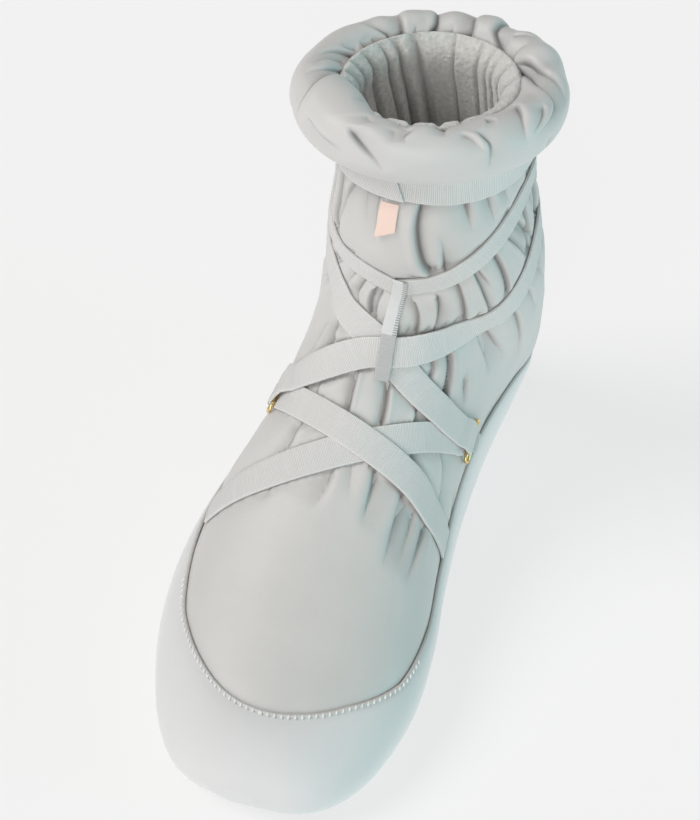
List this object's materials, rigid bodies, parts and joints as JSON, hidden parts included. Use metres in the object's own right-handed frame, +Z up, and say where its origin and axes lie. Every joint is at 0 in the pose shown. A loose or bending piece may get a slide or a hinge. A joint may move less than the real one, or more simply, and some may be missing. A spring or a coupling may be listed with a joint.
{
  "type": "dance warm-up boot",
  "caption": "Padded ankle-high cloth boot for the right foot, with a gathered collar, crossed elastic straps through wire rings, a soft rand and a flexible sole.",
  "frame": {"origin": "middle of the boot's length and width, on the floor", "axes": "+Z up, -Y towards the toe, +X towards the medial side"},
  "size_m": [0.1188, 0.2755, 0.2226],
  "materials": {
    "shell_cloth": "padded nylon cloth, soft sheen",
    "rand_cloth": "smooth backed cloth",
    "collar_cloth": "gathered nylon cloth",
    "elastic": "woven ribbed elastic",
    "tape": "narrow woven tape",
    "satin": "satin ribbon",
    "ring_metal": "polished gold-coloured wire",
    "insole": "fleece over foam",
    "sole": "matt soft sole"
  },
  "bodies": {
    "root": {"outsole": "sole", "insole": "insole", "upper": "shell_cloth", "mudguard": "rand_cloth", "collar": "collar_cloth", "top_band": "elastic", "ankle_strap": "elastic", "cross_strap": "elastic", "keeper": "tape", "tab_lateral": "tape", "tab_medial": "tape", "ribbon_tail": "satin", "ring_lateral": "ring_metal", "ring_medial": "ring_metal"}
  },
  "joints": []
}
